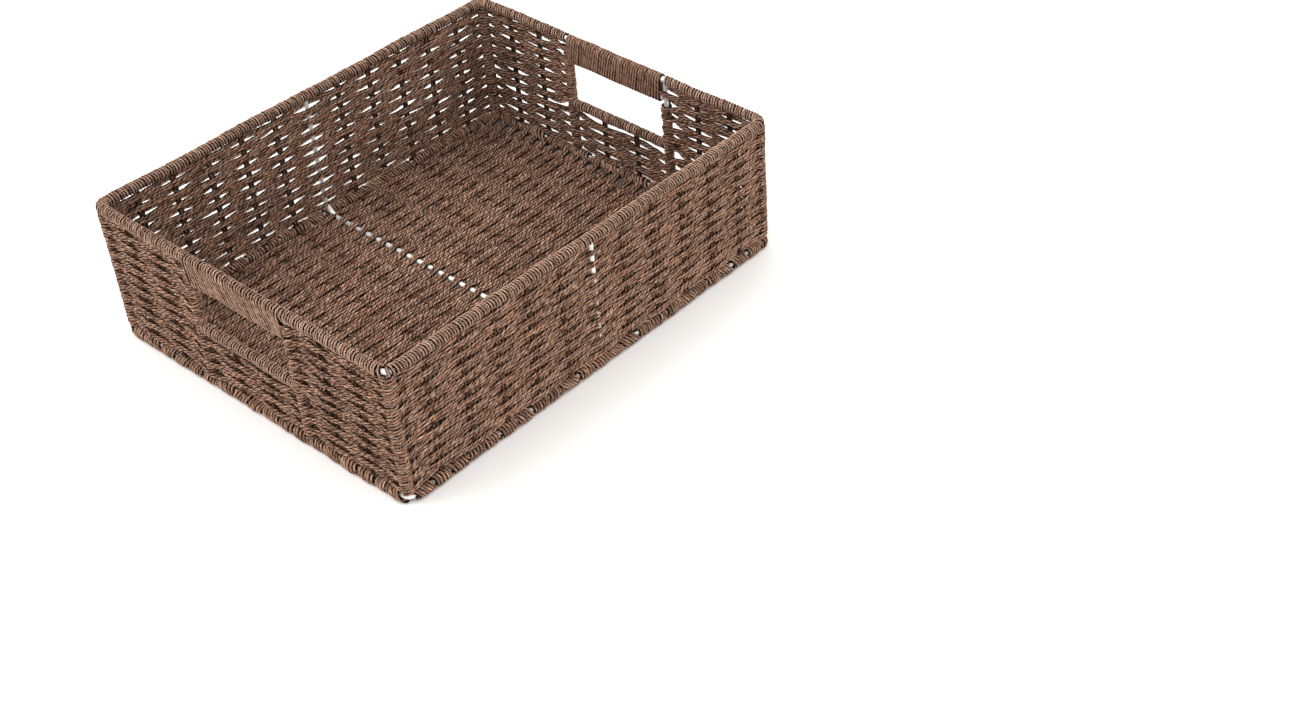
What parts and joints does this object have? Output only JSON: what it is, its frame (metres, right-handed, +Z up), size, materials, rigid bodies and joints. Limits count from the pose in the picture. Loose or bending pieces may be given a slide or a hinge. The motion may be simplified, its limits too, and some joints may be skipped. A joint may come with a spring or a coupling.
{
  "type": "woven storage basket",
  "caption": "Shallow rectangular storage basket woven from twisted paper twine over a steel wire frame, with a wound grip over a hand opening in each short side.",
  "frame": {"origin": "on the resting face, below the middle of the basket's outer box", "axes": "+X along the long side, +Y across it towards the back, +Z up"},
  "size_m": [0.4034, 0.3074, 0.118],
  "materials": {
    "steel_wire": "bare drawn steel wire, satin, slightly dull",
    "warp_cord": "brown twisted paper cord, matte",
    "woven_twine": "brown two-ply twisted paper twine, matte, plain woven in pairs",
    "wound_twine": "brown two-ply twisted paper twine, matte, wound turn by turn"
  },
  "bodies": {
    "root": {"base_weave": "woven_twine", "base_winding_back": "woven_twine", "base_winding_front": "woven_twine", "base_winding_left": "woven_twine", "base_winding_right": "woven_twine", "base_wire": "steel_wire", "centre_hoop": "steel_wire", "corner_post_back_left": "steel_wire", "corner_post_back_right": "steel_wire", "corner_post_front_left": "steel_wire", "corner_post_front_right": "steel_wire", "grip_winding_left": "wound_twine", "grip_winding_right": "wound_twine", "grip_wire_left": "steel_wire", "grip_wire_right": "steel_wire", "jamb_wire_back_left": "steel_wire", "jamb_wire_back_right": "steel_wire", "jamb_wire_front_left": "steel_wire", "jamb_wire_front_right": "steel_wire", "rim_winding_back": "wound_twine", "rim_winding_back_left": "wound_twine", "rim_winding_back_right": "wound_twine", "rim_winding_front": "wound_twine", "rim_winding_front_left": "wound_twine", "rim_winding_front_right": "wound_twine", "rim_wire": "steel_wire", "side_cord_back_left_1": "warp_cord", "side_cord_back_left_2": "warp_cord", "side_cord_back_right_1": "warp_cord", "side_cord_back_right_2": "warp_cord", "side_cord_front_left_1": "warp_cord", "side_cord_front_left_2": "warp_cord", "side_cord_front_right_1": "warp_cord", "side_cord_front_right_2": "warp_cord", "sill_cord_left_1": "warp_cord", "sill_cord_left_2": "warp_cord", "sill_cord_right_1": "warp_cord", "sill_cord_right_2": "warp_cord", "sill_winding_left": "wound_twine", "sill_winding_right": "wound_twine", "sill_wire_left": "steel_wire", "sill_wire_right": "steel_wire", "wall_weave_back": "woven_twine", "wall_weave_front": "woven_twine", "wall_weave_left": "woven_twine", "wall_weave_right": "woven_twine", "warp_cord_1": "warp_cord", "warp_cord_10": "warp_cord", "warp_cord_11": "warp_cord", "warp_cord_2": "warp_cord", "warp_cord_3": "warp_cord", "warp_cord_4": "warp_cord", "warp_cord_5": "warp_cord", "warp_cord_7": "warp_cord", "warp_cord_8": "warp_cord", "warp_cord_9": "warp_cord"}
  },
  "joints": []
}
